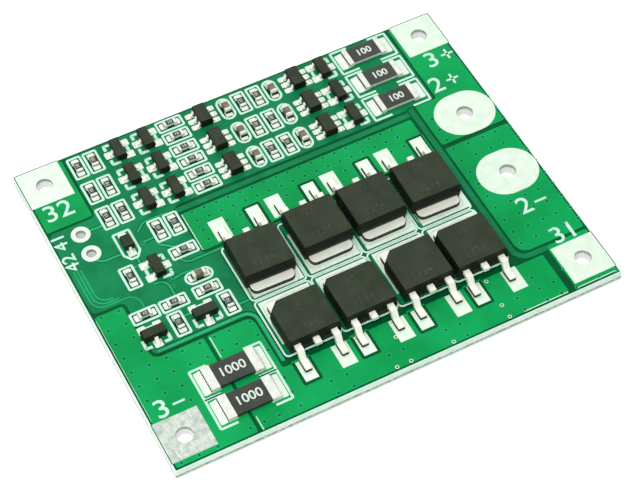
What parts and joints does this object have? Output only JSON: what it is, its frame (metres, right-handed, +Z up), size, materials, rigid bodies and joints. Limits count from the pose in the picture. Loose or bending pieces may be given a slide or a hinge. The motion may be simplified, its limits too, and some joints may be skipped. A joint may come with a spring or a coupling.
{
  "type": "battery management board",
  "caption": "Protection and balancing circuit board for a three-cell battery pack, with tinned wire lands, power transistors and current shunts.",
  "frame": {"origin": "middle of the board's underside", "axes": "+X along the long side toward the load lands, +Y toward the cell channels, +Z up through the components"},
  "size_m": [0.056, 0.045, 0.0039],
  "materials": {
    "solder_mask": "glossy green solder mask over copper and glass-fibre laminate",
    "tinned_land": "satin hot-levelled solder",
    "tinned_lead": "matte tin plate",
    "chip_terminal": "satin tin plate",
    "moulded_body": "fine matte epoxy moulding compound",
    "resistor_coat": "black glaze",
    "capacitor_ceramic": "smooth tan ceramic"
  },
  "bodies": {
    "root": {"board": "solder_mask", "battery_plus_land": "tinned_land", "battery_upper_cell_land": "tinned_land", "battery_lower_cell_land": "tinned_land", "battery_minus_land": "tinned_land", "output_plus_land": "tinned_land", "output_minus_land": "tinned_land", "sense_land_1": "tinned_land", "sense_land_2": "tinned_land", "mosfet_1_body": "moulded_body", "mosfet_1_leadframe": "tinned_lead", "mosfet_2_body": "moulded_body", "mosfet_2_leadframe": "tinned_lead", "mosfet_3_body": "moulded_body", "mosfet_3_leadframe": "tinned_lead", "mosfet_4_body": "moulded_body", "mosfet_4_leadframe": "tinned_lead", "mosfet_5_body": "moulded_body", "mosfet_5_leadframe": "tinned_lead", "mosfet_6_body": "moulded_body", "mosfet_6_leadframe": "tinned_lead", "mosfet_7_body": "moulded_body", "mosfet_7_leadframe": "tinned_lead", "mosfet_8_body": "moulded_body", "mosfet_8_leadframe": "tinned_lead", "mosfet_solder_lands": "tinned_land", "shunt_1_body": "resistor_coat", "shunt_1_terminals": "chip_terminal", "shunt_2_body": "resistor_coat", "shunt_2_terminals": "chip_terminal", "balance_resistor_1_body": "resistor_coat", "balance_resistor_1_terminals": "chip_terminal", "balance_resistor_2_body": "resistor_coat", "balance_resistor_2_terminals": "chip_terminal", "balance_resistor_3_body": "resistor_coat", "balance_resistor_3_terminals": "chip_terminal", "left_monitor_1_body": "moulded_body", "left_monitor_2_body": "moulded_body", "left_monitor_3_body": "moulded_body", "left_monitor_leads": "tinned_lead", "right_monitor_1_body": "moulded_body", "right_monitor_2_body": "moulded_body", "right_monitor_3_body": "moulded_body", "right_monitor_leads": "tinned_lead", "cell_1_transistor_bodies": "moulded_body", "cell_1_transistor_leads": "tinned_lead", "cell_2_transistor_bodies": "moulded_body", "cell_2_transistor_leads": "tinned_lead", "cell_3_transistor_bodies": "moulded_body", "cell_3_transistor_leads": "tinned_lead", "control_transistor_bodies": "moulded_body", "control_transistor_leads": "tinned_lead", "diode_body": "moulded_body", "diode_leads": "tinned_lead", "chip_resistor_bodies": "resistor_coat", "chip_resistor_terminals": "chip_terminal", "chip_capacitor_bodies": "capacitor_ceramic", "chip_capacitor_terminals": "chip_terminal", "small_solder_lands": "tinned_land"}
  },
  "joints": []
}
